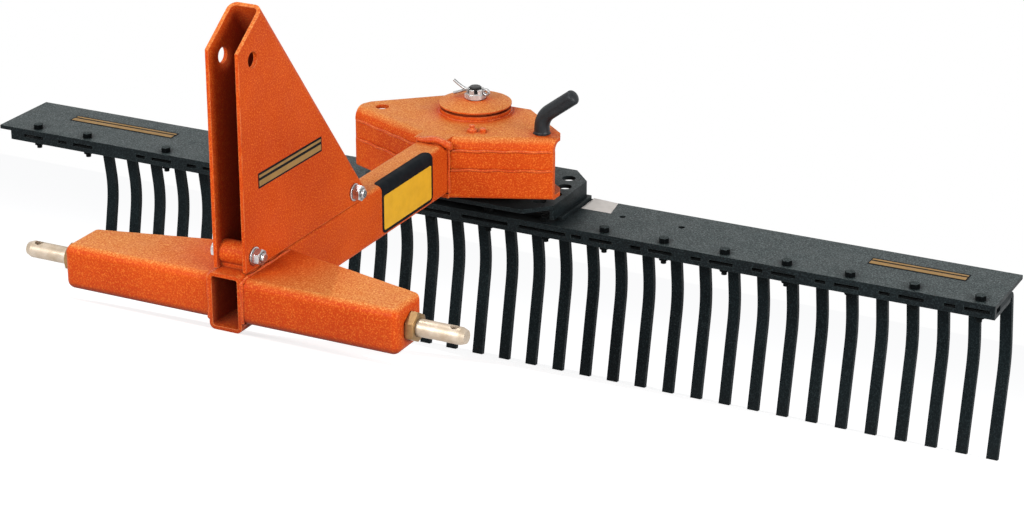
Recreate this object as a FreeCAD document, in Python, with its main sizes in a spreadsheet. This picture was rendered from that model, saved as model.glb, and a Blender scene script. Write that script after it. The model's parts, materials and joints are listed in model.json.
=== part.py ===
"""Landscape rake for a three-point hitch, as a parametric FreeCAD document.

The rake is drawn level, in its hitch frame: X across the machine, Y rearwards from the
front end of the tongue, Z up from the underside of the tongue. It is then laid down as it
parks, on the front edge of its tongue and on the tips of its tines, with the origin on the
floor under the middle of the whole machine. All lengths are in millimetres and all angles
in degrees.
"""
import FreeCAD, Part
import math
import os
import re

import Sketcher
from FreeCAD import Placement, Rotation, Vector

os.makedirs("parts", exist_ok=True)

SIZES = {
    # tongue: rectangular tube, open at its front end
    "tongue_width": 47.0,
    "tongue_height": 76.0,
    "tongue_wall": 5.0,
    "tongue_corner": 8.0,
    "tongue_length": 600.0,
    # hitch crossbar: two formed boxes welded to the tongue's sides
    "crossbar_end": 242.0,
    "crossbar_bottom": 11.0,
    "crossbar_height": 60.0,
    "crossbar_front": 2.0,
    "crossbar_depth_inner": 118.0,
    "crossbar_depth_outer": 63.0,
    "crossbar_wall": 5.5,
    "crossbar_round": 11.0,
    # lower hitch pins and their hexagonal shoulders
    "pin_radius": 11.1,
    "pin_shoulder": 254.0,
    "pin_end": 319.0,
    "pin_chamfer": 7.0,
    "pin_y": 36.0,
    "pin_z": 41.0,
    "pin_hole_radius": 5.75,
    "pin_hole_inset": 16.0,
    "collar_across_flats": 34.0,
    # mast: folded channel, its web along the sloping rear edge
    "mast_wall": 5.0,
    "mast_front": 15.0,
    "mast_elbow": 359.0,
    "mast_top": 403.5,
    "mast_top_y": 76.0,
    "mast_rear": 330.0,
    "mast_bend": 12.0,
    "link_hole_radius": 10.3,
    "link_hole_y": 46.7,
    "link_hole_z": 343.5,
    # mast bosses on the tongue, and the bolts through them
    "boss_radius": 15.5,
    "boss_lift": 17.0,
    "boss_front_y": 34.0,
    "boss_rear_y": 284.0,
    "boss_foot": 20.0,
    "mast_bolt_radius": 6.0,
    "bolt_gap": 0.4,
    "washer_radius": 15.0,
    "washer_thickness": 2.5,
    "mast_nut_flats": 19.0,
    "mast_nut_height": 10.0,
    "bolt_head_height": 8.0,
    "bolt_end": 4.0,
    # swivel head: two folded shells round the rear end of the tongue
    "pivot_setback": 77.0,
    "shell_wall": 6.0,
    "head_front": 129.0,
    "head_shoulder_x": 158.0,
    "head_shoulder_front": 71.0,
    "head_ear_front": 48.0,
    "head_ear_back_x": 152.0,
    "head_ear_rear": 35.0,
    "head_rear_x": 70.0,
    "head_rear": 37.0,
    "upper_lip": 17.0,
    "lower_lip": 43.0,
    "lip_bend": 16.0,
    "wall_setback": 0.6,
    "head_tab": 12.0,
    "pivot_tube_wall": 9.0,
    "index_radius": 135.0,
    "index_hole_radius": 10.0,
    # king pin, its nut and the dished cap under it
    "king_radius": 12.7,
    "running_gap": 0.08,
    "hole_gap": 1.0,
    "thread_radius": 9.5,
    "nut_flats": 27.0,
    "nut_height": 14.0,
    "nut_slot": 4.6,
    "nut_slot_depth": 6.0,
    "thread_end": 6.0,
    "ring_radius": 51.3,
    "ring_thickness": 6.0,
    "cap_radius": 52.2,
    "cap_neck_radius": 45.5,
    "cap_neck": 4.0,
    "cap_rim": 2.0,
    "cap_dome": 5.5,
    "cap_step": 1.0,
    "cap_flat_radius": 17.0,
    "face_gap": 0.5,
    "cotter_radius": 1.8,
    "cotter_leg": 26.0,
    # index pin with its dipped grip
    "index_pin_radius": 8.5,
    "grip_wall": 2.3,
    "grip_rise": 12.0,
    "grip_reach": 44.0,
    "grip_bend": 34.0,
    # turntable on top of the rake bar
    "turntable_drop": 14.0,
    "turntable_wall": 6.0,
    "turntable_half_x": 152.0,
    "turntable_half_y": 90.0,
    "turntable_cut_x": 32.0,
    "turntable_cut_y": 35.0,
    "turntable_flange": 16.0,
    "washer_disc_radius": 60.0,
    "base_half_x": 158.0,
    "base_front": 38.0,
    "base_rear": 59.0,
    "base_thickness": 6.0,
    # rake bar: plate with a slotted front lip, and the strip that clamps the tines
    "bar_length": 1600.0,
    "bar_width": 122.0,
    "bar_wall": 6.0,
    "slot_long": 36.0,
    "slot_short": 16.0,
    "slot_wide": 74.0,
    "slot_height": 5.0,
    "slot_drop": 2.0,
    "strip_rear": 9.0,
    "strip_left_length": 240.0,
    "strip_joint": 3.0,
    "strip_setback": 20.0,
    "bolt_pitch": 91.3,
    "bolt_first": 25.0,
    "bolt_left_first": 62.5,
    "bolt_inset": 14.0,
    "bar_bolt_radius": 4.0,
    "bar_head_flats": 13.0,
    "bar_head_height": 7.0,
    "bar_nut_height": 6.5,
    "bar_bolt_end": 5.0,
    "plate_hole_radius": 4.5,
    "plate_hole_y": 15.0,
    # tines: flat spring steel, clamped by a level tail
    "tine_width": 16.0,
    "tine_thickness": 8.0,
    "tine_pitch": 44.0,
    "tine_tail": 38.0,
    "tine_bend_y": 18.0,
    "tine_bend_radius": 6.0,
    "tine_elbow_drop": 102.0,
    "tine_tip_drop": 142.0,
    "tine_elbow_radius": 150.0,
}
ANGLES = {
    "index_angle": 20.7,
    "index_step_angle": 14.8,
    "grip_angle": 60.0,
    "tine_shank_angle": 9.0,
    "tine_tip_angle": 11.3,
}
COUNTS = {
    "bolts_left": 2,
    "tines_left": 3,
    "index_holes": 4,
}
# places and counts that follow from the sizes, written as expressions
DERIVED = {
    "pivot_y": "tongue_length + pivot_setback",
    "head_front_y": "pivot_y - head_front",
    "head_shoulder_y": "pivot_y - head_shoulder_front",
    "head_top": "tongue_height + shell_wall",
    "index_x": "index_radius * cos(index_angle * 1 deg)",
    "index_y": "pivot_y - index_radius * sin(index_angle * 1 deg)",
    "boss_z": "tongue_height + boss_lift",
    "cap_seat": "head_top + ring_thickness + face_gap",
    "cap_top": "cap_seat + cap_neck + cap_rim + cap_dome",
    "nut_top": "cap_top + nut_height",
    "cotter_z": "nut_top - nut_slot_depth / 2",
    "table_top": "-shell_wall - turntable_drop",
    "table_under": "table_top - turntable_wall",
    "base_top": "table_under - turntable_flange",
    "bar_top": "base_top - base_thickness",
    "tail_top": "bar_top - bar_wall",
    "strip_top": "tail_top - tine_thickness",
    "strip_under": "strip_top - bar_wall",
    "bar_front_y": "pivot_y - bar_width / 2",
    "bolt_y": "bar_front_y + bolt_inset",
    "king_hole": "king_radius + 0.05",
    "strip_end": "-bar_length / 2 + strip_left_length",
    "tines_clamped": "floor((bar_length - strip_left_length - tine_width) / tine_pitch) + 1",
    "tines_right": "ceil(tines_clamped / 2)",
    "tines_middle": "tines_clamped - tines_right",
    "bolts_main": "floor((bar_length - strip_left_length - bolt_first) / bolt_pitch) + 1",
}

doc = FreeCAD.newDocument("landscape_rake")
sheet = doc.addObject("Spreadsheet::Sheet", "Sizes")
for row, (alias, number) in enumerate({**SIZES, **ANGLES, **COUNTS}.items(), start=1):
    sheet.set(f"A{row}", alias)
    sheet.set(f"B{row}", str(number))
    sheet.setAlias(f"B{row}", alias)
doc.recompute()

ALIAS = re.compile(r"\b(" + "|".join({**SIZES, **ANGLES, **COUNTS}) + r")\b")
PLACE = re.compile(r"\b(" + "|".join(DERIVED) + r")\b")
nodes = {}


# ---------------------------------------------------------------- helpers

def bound(text):
    """The expression for a size, with derived places written out and aliases bound."""
    text = str(text)
    while PLACE.search(text):
        text = PLACE.sub(lambda found: f"({DERIVED[found.group()]})", text)
    return ALIAS.sub(r"Sizes.\1", text)


def value(text):
    return float(sheet.evalExpression(bound(text).replace("Sizes.", "")))


def bind(obj, **expressions):
    for name, text in expressions.items():
        obj.setExpression(name.replace("__", "."), bound(text))
    return obj


def at(obj, x="0", y="0", z="0"):
    return bind(obj, Placement__Base__x=x, Placement__Base__y=y, Placement__Base__z=z)


def turned(obj, axis):
    """Turn a primitive from its own Z axis to the named axis."""
    if axis == "x":
        obj.Placement = Placement(Vector(), Rotation(Vector(0, 1, 0), 90))
    return obj


def box(extent, corner):
    """A block, from its three lengths and its lowest corner."""
    block = doc.addObject("Part::Box", "block")
    bind(block, Length=extent[0], Width=extent[1], Height=extent[2])
    return at(block, *corner)


def cylinder(radius, length, start, axis="z"):
    """A round bar from start along an axis."""
    bar = turned(doc.addObject("Part::Cylinder", "bar"), axis)
    bind(bar, Radius=radius, Height=length)
    return at(bar, *start)


def hexagon(flats, length, start, axis="z"):
    """A six-sided bar from start along an axis."""
    bar = turned(doc.addObject("Part::Prism", "hexagon"), axis)
    bar.Polygon = 6
    bind(bar, Circumradius=f"({flats}) / sqrt(3)", Height=length)
    return at(bar, *start)


def cone(radius_start, radius_end, length, start, axis="z"):
    bar = turned(doc.addObject("Part::Cone", "cone"), axis)
    bind(bar, Radius1=radius_start, Radius2=radius_end, Height=length)
    return at(bar, *start)


def fuse(*pieces):
    joined = doc.addObject("Part::MultiFuse", "joined")
    joined.Shapes = list(pieces)
    joined.Refine = True
    return joined


def cut(base, *tools):
    result = doc.addObject("Part::Cut", "cut")
    result.Base = base
    result.Tool = tools[0] if len(tools) == 1 else fuse(*tools)
    result.Refine = True
    return result


def node(label, *pieces):
    """Name a sub-part. Loose pieces are grouped, and so is a lone piece with a bound place."""
    if len(pieces) == 1 and not pieces[0].ExpressionEngine:
        sub_part = pieces[0]
    else:
        sub_part = doc.addObject("Part::Compound", label)
        sub_part.Links = list(pieces)
    sub_part.Label = label
    nodes[label] = sub_part


def new_body(name):
    return doc.addObject("PartDesign::Body", name)


def outline(body, role, corners, lift="0"):
    """A closed outline on an origin plane, every corner bound to the sheet.

    The plane's own axes are X and Y on XY_Plane, X and Z on XZ_Plane (which faces -Y), and
    Y and Z on YZ_Plane. lift moves the sketch along the plane's normal.
    """
    sketch = body.newObject("Sketcher::SketchObject", "outline")
    plane = next(feature for feature in body.Origin.OriginFeatures if feature.Role == role)
    sketch.AttachmentSupport = [(plane, "")]
    sketch.MapMode = "FlatFace"
    sketch.setExpression("AttachmentOffset.Base.z", bound(lift))
    count = len(corners)
    start = [Vector(math.cos(2 * math.pi * i / count), math.sin(2 * math.pi * i / count), 0)
             for i in range(count)]
    for i in range(count):
        sketch.addGeometry(Part.LineSegment(start[i], start[(i + 1) % count]), False)
    for i in range(count):
        sketch.addConstraint(Sketcher.Constraint("Coincident", i, 2, (i + 1) % count, 1))
    for i, corner in enumerate(corners):
        for kind, text in zip(("DistanceX", "DistanceY"), corner):
            index = sketch.addConstraint(Sketcher.Constraint(kind, -1, 1, i, 1, 1.0))
            sketch.setExpression(f"Constraints[{index}]", bound(text))
    return sketch


def pad(body, sketch, length, both_ways=False, backwards=False):
    feature = body.newObject("PartDesign::Pad", "pad")
    feature.Profile = sketch
    if both_ways:
        feature.SideType = "Symmetric"
    feature.Reversed = backwards
    bind(feature, Length=length)
    doc.recompute()
    return feature


def pocket(body, sketch, length, both_ways=False, backwards=False):
    before = body.Shape.Volume
    feature = body.newObject("PartDesign::Pocket", "pocket")
    feature.Profile = sketch
    if both_ways:
        feature.SideType = "Symmetric"
    feature.Reversed = backwards
    bind(feature, Length=length)
    doc.recompute()
    if not body.Shape.Volume < before:
        raise ValueError(f"{body.Name}: a pocket cuts nothing")
    return feature


def fillet(body, radius, chosen):
    """Round the straight edges for which chosen(first_end, second_end) is true."""
    base = body.Tip
    picked = []
    for number, edge in enumerate(base.Shape.Edges, start=1):
        ends = [vertex.Point for vertex in edge.Vertexes]
        if len(ends) == 2 and edge.Curve.TypeId == "Part::GeomLine" and chosen(*ends):
            picked.append(f"Edge{number}")
    if not picked:
        raise ValueError(f"{body.Name}: no edge to round")
    feature = body.newObject("PartDesign::Fillet", "rounding")
    feature.Base = (base, picked)
    bind(feature, Radius=radius)
    doc.recompute()
    return feature


def round_corners(body, sketch, corners, radius):
    """Round the edges that rise from the given corners of a sketch."""
    normal = sketch.Placement.Rotation.multVec(Vector(0, 0, 1))
    points = [sketch.Placement.multVec(sketch.getPoint(corner, 1)) for corner in corners]

    def rises(first, second):
        run = second - first
        if run.cross(normal).Length > 1e-4 * run.Length:
            return False
        return any((first - point).cross(normal).Length < 1e-4 for point in points)

    return fillet(body, radius, rises)


# ---------------------------------------------------------------- hitch frame

def make_tongue():
    body = new_body("tongue_tube")
    half = "tongue_width / 2"
    wall = "tongue_wall"
    outer = outline(body, "XZ_Plane", [
        (f"-{half}", "0"), (half, "0"), (half, "tongue_height"), (f"-{half}", "tongue_height")])
    pad(body, outer, "tongue_length", backwards=True)
    round_corners(body, outer, range(4), "tongue_corner")
    inner = outline(body, "XZ_Plane", [
        (f"-{half} + {wall}", wall), (f"{half} - {wall}", wall),
        (f"{half} - {wall}", f"tongue_height - {wall}"),
        (f"-{half} + {wall}", f"tongue_height - {wall}")])
    pocket(body, inner, "tongue_length")
    round_corners(body, inner, range(4), "tongue_corner - tongue_wall")
    node("tongue", body)


def make_crossbar(side, label):
    """One half of the crossbar: a tapered box whose open end meets the tongue."""
    root = f"{side} * tongue_width / 2"
    tip = f"{side} * crossbar_end"
    wall = "crossbar_wall"
    front = "crossbar_front"
    body = new_body(label + "_box")
    plan = outline(body, "XY_Plane", [
        (root, front), (tip, front),
        (tip, f"{front} + crossbar_depth_outer"), (root, f"{front} + crossbar_depth_inner")],
        lift="crossbar_bottom")
    pad(body, plan, "crossbar_height")

    def outer_edge(first, second):
        at_front = all(abs(end.y - value("crossbar_front")) < 1e-4 for end in (first, second))
        at_end = all(abs(abs(end.x) - value("crossbar_end")) < 1e-4 for end in (first, second))
        return at_end or (at_front and abs(first.x - second.x) > 1)

    fillet(body, "crossbar_round", outer_edge)
    hollow = outline(body, "XY_Plane", [
        (root, f"{front} + {wall}"), (f"{tip} - {side} * {wall}", f"{front} + {wall}"),
        (f"{tip} - {side} * {wall}", f"{front} + crossbar_depth_outer - {wall}"),
        (root, f"{front} + crossbar_depth_inner - 1.05 * {wall}")],
        lift=f"crossbar_bottom + {wall}")
    pocket(body, hollow, f"crossbar_height - 2 * {wall}", backwards=True)
    node(label, body)


def make_lower_pin(side, label):
    """Plain pin with a chamfered end and an upright hole for a linchpin."""
    if side > 0:
        shank_start = "pin_shoulder"
        nose_start = "pin_end - pin_chamfer"
        nose_radii = ("pin_radius", "pin_radius - 2.5")
    else:
        shank_start = "-pin_end + pin_chamfer"
        nose_start = "-pin_end"
        nose_radii = ("pin_radius - 2.5", "pin_radius")
    shank = cylinder("pin_radius", "pin_end - pin_chamfer - pin_shoulder",
                     (shank_start, "pin_y", "pin_z"), "x")
    nose = cone(*nose_radii, "pin_chamfer", (nose_start, "pin_y", "pin_z"), "x")
    hole = cylinder("pin_hole_radius", "4 * pin_radius",
                    (f"{side} * (pin_end - pin_hole_inset)", "pin_y", "pin_z - 2 * pin_radius"))
    node(label, cut(fuse(shank, nose), hole))


def make_collar(side, label):
    start = "crossbar_end" if side > 0 else "-pin_shoulder"
    node(label, hexagon("collar_across_flats", "pin_shoulder - crossbar_end",
                        (start, "pin_y", "pin_z"), "x"))


def make_mast():
    """Folded channel: two side plates and a web along the sloping rear edge."""
    body = new_body("mast_channel")
    steep = "(mast_rear - mast_top_y) / (mast_top - tongue_height)"
    web = f"mast_wall * sqrt(1 + ({steep})^2)"
    profile = outline(body, "YZ_Plane", [
        ("mast_front", "tongue_height"), ("mast_front", "mast_elbow"),
        ("mast_top_y", "mast_top"), ("mast_rear", "tongue_height")])
    pad(body, profile, "tongue_width", both_ways=True)
    ratio = (value("mast_rear") - value("mast_top_y")) / (value("mast_top") - value("tongue_height"))

    def along_slope(first, second):
        run = second - first
        return abs(run.x) < 1e-4 and abs(run.y + ratio * run.z) < 1e-4 and abs(run.z) > abs(run.x) + 1

    fillet(body, "mast_bend", along_slope)
    inside = outline(body, "YZ_Plane", [
        ("mast_front - 40", "tongue_height - 40"), ("mast_front - 40", "mast_top + 40"),
        (f"mast_top_y - 40 * {steep} - {web}", "mast_top + 40"),
        (f"mast_rear + 40 * {steep} - {web}", "tongue_height - 40")])
    pocket(body, inside, "tongue_width - 2 * mast_wall", both_ways=True)

    def inner_slope(first, second):
        return along_slope(first, second) and abs(abs(first.x) - value("tongue_width") / 2
                                                  + value("mast_wall")) < 1e-4

    fillet(body, "mast_bend - mast_wall", inner_slope)
    holes = []
    for y, z, radius in (("link_hole_y", "link_hole_z", "link_hole_radius"),
                         ("boss_front_y", "boss_z", "mast_bolt_radius + bolt_gap"),
                         ("boss_rear_y", "boss_z", "mast_bolt_radius + bolt_gap")):
        holes.append(cylinder(radius, "tongue_width + 40", ("-tongue_width / 2 - 20", y, z), "x"))
    node("mast", cut(body, *holes))


def make_boss(y, label):
    """Round boss across the mast's mouth, on a foot welded to the tongue."""
    width = "tongue_width - 2 * mast_wall"
    left = f"-({width}) / 2"
    tube = cylinder("boss_radius", width, (left, y, "boss_z"), "x")
    foot = box((width, "boss_foot", "boss_lift"), (left, f"{y} - boss_foot / 2", "tongue_height"))
    bore = cylinder("mast_bolt_radius + bolt_gap", "tongue_width", ("-tongue_width / 2", y, "boss_z"), "x")
    node(label, cut(fuse(tube, foot), bore))


def make_mast_bolt(y, place):
    face = "tongue_width / 2"
    head = hexagon("mast_nut_flats", "bolt_head_height",
                   (f"-{face} - washer_thickness - bolt_head_height", y, "boss_z"), "x")
    shank = cylinder("mast_bolt_radius",
                     "tongue_width + 2 * washer_thickness + mast_nut_height + bolt_end",
                     (f"-{face} - washer_thickness", y, "boss_z"), "x")
    node(f"mast_bolt_{place}", fuse(head, shank))
    seat = (f"{face} + washer_thickness", y, "boss_z")
    node(f"mast_nut_{place}", cut(hexagon("mast_nut_flats", "mast_nut_height", seat, "x"),
                                  cylinder("mast_bolt_radius", "mast_nut_height", seat, "x")))


def make_mast_washers():
    washers = []
    for y in ("boss_front_y", "boss_rear_y"):
        for start in ("tongue_width / 2", "-tongue_width / 2 - washer_thickness"):
            place = (start, y, "boss_z")
            washers.append(cut(cylinder("washer_radius", "washer_thickness", place, "x"),
                               cylinder("mast_bolt_radius + bolt_gap", "washer_thickness", place, "x")))
    node("mast_washers", *washers)


# ---------------------------------------------------------------- swivel head

FACE_RUN = "(head_shoulder_x - tongue_width / 2)"
FACE_RISE = "(head_front - head_shoulder_front)"
FACE_STRETCH = f"sqrt(1 + ({FACE_RISE} / {FACE_RUN})^2)"


def head_holes(low, high):
    """Cutters for the king pin and for the index pin, which fits either side."""
    height = f"({high}) - ({low})"
    tools = [cylinder("king_radius + running_gap + hole_gap", height, ("0", "pivot_y", low))]
    for side in (1, -1):
        tools.append(cylinder("index_hole_radius", height, (f"{side} * index_x", "index_y", low)))
    return tools


def slanted_strip(body, side, offset, low, height):
    """A strip shell_wall thick along one slanted front face, set back by offset."""
    near = f"({offset}) * {FACE_STRETCH}"
    far = f"({offset} + shell_wall) * {FACE_STRETCH}"
    root = f"{side} * tongue_width / 2"
    tip = f"{side} * head_shoulder_x"
    strip = outline(body, "XY_Plane", [
        (root, f"head_front_y + {near}"), (tip, f"head_shoulder_y + {near}"),
        (tip, f"head_shoulder_y + {far}"), (root, f"head_front_y + {far}")],
        lift=low)
    pad(body, strip, height)


def shell_half(side, plate_z, lip_z, lip_height, fold_z, fold_radius):
    """One side of a shell: a flat plate with its slanted front edge folded over."""
    body = new_body("shell_half")
    plan = [("tongue_width / 2", "head_front_y"),
            ("head_shoulder_x", "head_shoulder_y"),
            ("head_shoulder_x", "pivot_y - head_ear_front"),
            ("head_ear_back_x", "pivot_y - head_ear_rear"),
            ("head_rear_x", "pivot_y + head_rear"),
            ("tongue_width / 2", "pivot_y + head_rear")]
    corners = [(f"{side} * {x}", y) for x, y in plan]
    pad(body, outline(body, "XY_Plane", corners, lift=plate_z), "shell_wall")
    slanted_strip(body, side, "0", lip_z, lip_height)
    inset = value(f"shell_wall * {FACE_STRETCH}")

    def along_face(first, second, set_in, z):
        """Whether an edge runs along the slanted face, set in by a distance, at height z."""
        inner, outer = sorted((first, second), key=lambda end: abs(end.x))
        root = Vector(side * value("tongue_width / 2"), value("head_front_y") + set_in, value(z))
        tip = Vector(side * value("head_shoulder_x"), value("head_shoulder_y") + set_in, value(z))
        return inner.distanceToPoint(root) < 1e-3 and outer.distanceToPoint(tip) < 1e-3

    def at_fold(first, second):
        return along_face(first, second, 0, fold_z)

    def inside_fold(first, second):
        return along_face(first, second, inset, plate_z)

    fillet(body, fold_radius, at_fold)
    if value(f"{fold_radius} - shell_wall") > 0:
        fillet(body, f"{fold_radius} - shell_wall", inside_fold)
    return body


def make_shell(label, plate_z, lip_z, lip_height, fold_z, fold_radius, tab):
    """Two folded halves and the middle between them, drilled for the pins."""
    halves = [shell_half(side, plate_z, lip_z, lip_height, fold_z, fold_radius)
              for side in (1, -1)]
    middle = box(("tongue_width", f"head_front + head_rear + {tab}", "shell_wall"),
                 ("-tongue_width / 2", f"head_front_y - {tab}", plate_z))
    tools = head_holes(f"{plate_z} - 1", f"{plate_z} + shell_wall + 1")
    node(label, cut(fuse(*halves, middle), *tools))


def make_head_shells():
    make_shell("head_upper_shell", "tongue_height", "head_top - upper_lip",
               "upper_lip - shell_wall", "head_top", "lip_bend", "head_tab")
    make_shell("head_lower_shell", "-shell_wall", "0", "lower_lip - shell_wall",
               "-shell_wall", "shell_wall - 1", "0")


def make_head_wall(side, label):
    """The wall between the two shells' folded lips, almost flush with them."""
    body = new_body(label + "_plate")
    slanted_strip(body, side, "wall_setback", "lower_lip - shell_wall",
                  "head_top - upper_lip - lower_lip + shell_wall")
    node(label, body)


def make_pivot_tube():
    foot = ("0", "pivot_y", "0")
    node("pivot_tube",
         cut(cylinder("king_radius + running_gap + pivot_tube_wall", "tongue_height", foot),
             cylinder("king_radius + running_gap", "tongue_height", foot)))


def make_cap_ring():
    seat = ("0", "pivot_y", "head_top")
    node("cap_ring", cut(cylinder("ring_radius", "ring_thickness", seat),
                         cylinder("king_radius + running_gap + hole_gap", "ring_thickness", seat)))


def bent_rod(radius, low, reach):
    """A round rod that rises through the head, bends outwards and runs on to its end."""
    bend_z = "head_top + grip_rise"
    upright = cylinder(radius, f"{bend_z} - ({low})", ("index_x", "index_y", low))
    elbow = doc.addObject("Part::Torus", "elbow")
    elbow.Placement = Placement(Vector(), Rotation(Vector(-1, 0, 0), Vector(0, 0, 1),
                                                   Vector(0, 1, 0), "ZXY"))
    bind(elbow, Radius1="grip_bend", Radius2=radius, Angle3="grip_angle")
    at(elbow, "index_x + grip_bend", "index_y", bend_z)
    arm = doc.addObject("Part::Cylinder", "arm")
    arm.Placement = Placement(Vector(), Rotation(Vector(0, 1, 0), value("grip_angle")))
    bind(arm, Radius=radius, Height=reach, Placement__Rotation__Angle="grip_angle")
    at(arm, "index_x + grip_bend * (1 - cos(grip_angle * 1 deg))", "index_y",
       f"{bend_z} + grip_bend * sin(grip_angle * 1 deg)")
    return fuse(upright, elbow, arm)


def make_index_pin():
    """Bent rod that locks the rake's angle, with a dipped grip that sits on the head."""
    node("index_pin", bent_rod("index_pin_radius", "-shell_wall", "grip_reach"))
    node("index_grip", cut(bent_rod("index_pin_radius + grip_wall", "head_top",
                                    "grip_reach + grip_wall"),
                           bent_rod("index_pin_radius", "-shell_wall", "grip_reach")))


# ---------------------------------------------------------------- king pin



def make_king_pin():
    foot = ("0", "pivot_y", "tail_top")
    shank = cylinder("king_radius", "cap_seat + cap_step - tail_top", foot)
    thread = cylinder("thread_radius", "nut_top + thread_end - tail_top", foot)
    hole = cylinder("cotter_radius", "6 * thread_radius",
                    ("-3 * thread_radius", "pivot_y", "cotter_z"), "x")
    node("king_pin", cut(fuse(shank, thread), hole))


def make_cap_disc():
    """Pressed cap: a short neck, an overhanging rim and a low cone under the nut."""
    body = new_body("cap_pressing")
    profile = outline(body, "XZ_Plane", [
        ("thread_radius + running_gap", "cap_seat + cap_step"),
        ("king_radius + bolt_gap", "cap_seat + cap_step"),
        ("king_radius + bolt_gap", "cap_seat"), ("cap_neck_radius", "cap_seat"),
        ("cap_neck_radius", "cap_seat + cap_neck"), ("cap_radius", "cap_seat + cap_neck"),
        ("cap_radius", "cap_seat + cap_neck + cap_rim"), ("cap_flat_radius", "cap_top"),
        ("thread_radius + running_gap", "cap_top")], lift="-pivot_y")
    turn = body.newObject("PartDesign::Revolution", "turn")
    turn.Profile = profile
    turn.ReferenceAxis = (profile, ["V_Axis"])
    turn.Angle = 360
    doc.recompute()
    node("cap_disc", body)


def make_castle_nut():
    seat = ("0", "pivot_y", "cap_top")
    crown_z = "nut_top - nut_slot_depth"
    crown_seat = ("0", "pivot_y", crown_z)
    crown = cut(cylinder("nut_flats", "nut_slot_depth", crown_seat),
                cylinder("nut_flats / 2 - 0.8", "nut_slot_depth", crown_seat))
    slots = []
    for turn in (0, 60, 120):
        slot = doc.addObject("Part::Box", "slot")
        slot.Placement = Placement(Vector(), Rotation(Vector(0, 0, 1), turn))
        bind(slot, Length="4 * nut_flats", Width="nut_slot", Height="nut_slot_depth + 1")
        at(slot, f"-2 * nut_flats * cos({turn} deg) + nut_slot / 2 * sin({turn} deg)",
           f"pivot_y - 2 * nut_flats * sin({turn} deg) - nut_slot / 2 * cos({turn} deg)", crown_z)
        slots.append(slot)
    node("castle_nut", cut(hexagon("nut_flats", "nut_height", seat),
                           cylinder("thread_radius", "nut_height", seat), crown, *slots))


def make_cotter():
    """Split pin: an eye on the king pin's right and two spread legs on its left."""
    reach = "(nut_flats / 2 + 2.5)"
    straight = cylinder("cotter_radius", f"2 * {reach}", (f"-{reach}", "pivot_y", "cotter_z"), "x")
    knuckle = at(bind(doc.addObject("Part::Sphere", "knuckle"), Radius="cotter_radius"),
                 f"-{reach}", "pivot_y", "cotter_z")
    eye = doc.addObject("Part::Torus", "eye")
    eye.Placement = Placement(Vector(), Rotation(Vector(1, 0, 0), 90))
    bind(eye, Radius1="2.4 * cotter_radius", Radius2="cotter_radius")
    at(eye, f"{reach} + 3 * cotter_radius", "pivot_y", "cotter_z")
    legs = []
    for lean in (10, 48):
        leg = doc.addObject("Part::Cylinder", "leg")
        leg.Placement = Placement(Vector(), Rotation(Vector(0, 1, 0), lean - 90))
        bind(leg, Radius="0.9 * cotter_radius", Height="cotter_leg")
        legs.append(at(leg, f"-{reach}", "pivot_y", "cotter_z"))
    node("cotter_pin", fuse(straight, knuckle, eye, *legs))


# ---------------------------------------------------------------- turntable and rake bar

def make_thrust_washer():
    place = ("0", "pivot_y", "table_top")
    height = "turntable_drop - face_gap"
    node("thrust_washer", cut(cylinder("washer_disc_radius", height, place),
                              cylinder("king_hole", height, place)))


def make_turntable():
    """Plate with cut corners, a row of index holes at each end and two side flanges."""
    body = new_body("turntable_plate")
    side_y = "(turntable_half_y - turntable_cut_y)"
    end_x = "(turntable_half_x - turntable_cut_x)"
    plan = []
    for x, y in (("turntable_half_x", f"-{side_y}"), ("turntable_half_x", side_y),
                 (end_x, "turntable_half_y"), (f"-{end_x}", "turntable_half_y"),
                 ("-turntable_half_x", side_y), ("-turntable_half_x", f"-{side_y}"),
                 (f"-{end_x}", "-turntable_half_y"), (end_x, "-turntable_half_y")):
        plan.append((x, f"pivot_y + {y}"))
    pad(body, outline(body, "XY_Plane", plan, lift="table_under"), "turntable_wall")
    flanges = []
    for start in ("turntable_half_x - turntable_wall", "-turntable_half_x"):
        flanges.append(box(("turntable_wall", f"2 * {side_y}", "turntable_flange"),
                           (start, f"pivot_y - {side_y}", "base_top")))
    holes = [cylinder("king_hole", "turntable_wall", ("0", "pivot_y", "table_under"))]
    for side in (1, -1):
        for step in range(int(value("index_holes"))):
            angle = f"(({step} * index_step_angle - index_angle) * 1 deg)"
            holes.append(cylinder("index_hole_radius", "turntable_wall",
                                  (f"{side} * index_radius * cos{angle}",
                                   f"pivot_y + index_radius * sin{angle}", "table_under")))
    node("turntable", cut(fuse(body, *flanges), *holes))


def make_turntable_base():
    plate = box(("2 * base_half_x", "base_front + base_rear", "base_thickness"),
                ("-base_half_x", "pivot_y - base_front", "bar_top"))
    node("turntable_base", cut(plate, cylinder("king_hole", "base_thickness",
                                               ("0", "pivot_y", "bar_top"))))


def bolt_stations():
    """The clamp bolts' places along the bar: a long row, and a short one at the left."""
    long_row = [f"bar_length / 2 - bolt_first - {i} * bolt_pitch"
                for i in range(int(value("bolts_main")))]
    short_row = [f"-bar_length / 2 + bolt_left_first + {i} * bolt_pitch"
                 for i in range(int(value("bolts_left")))]
    return long_row, short_row


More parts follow.
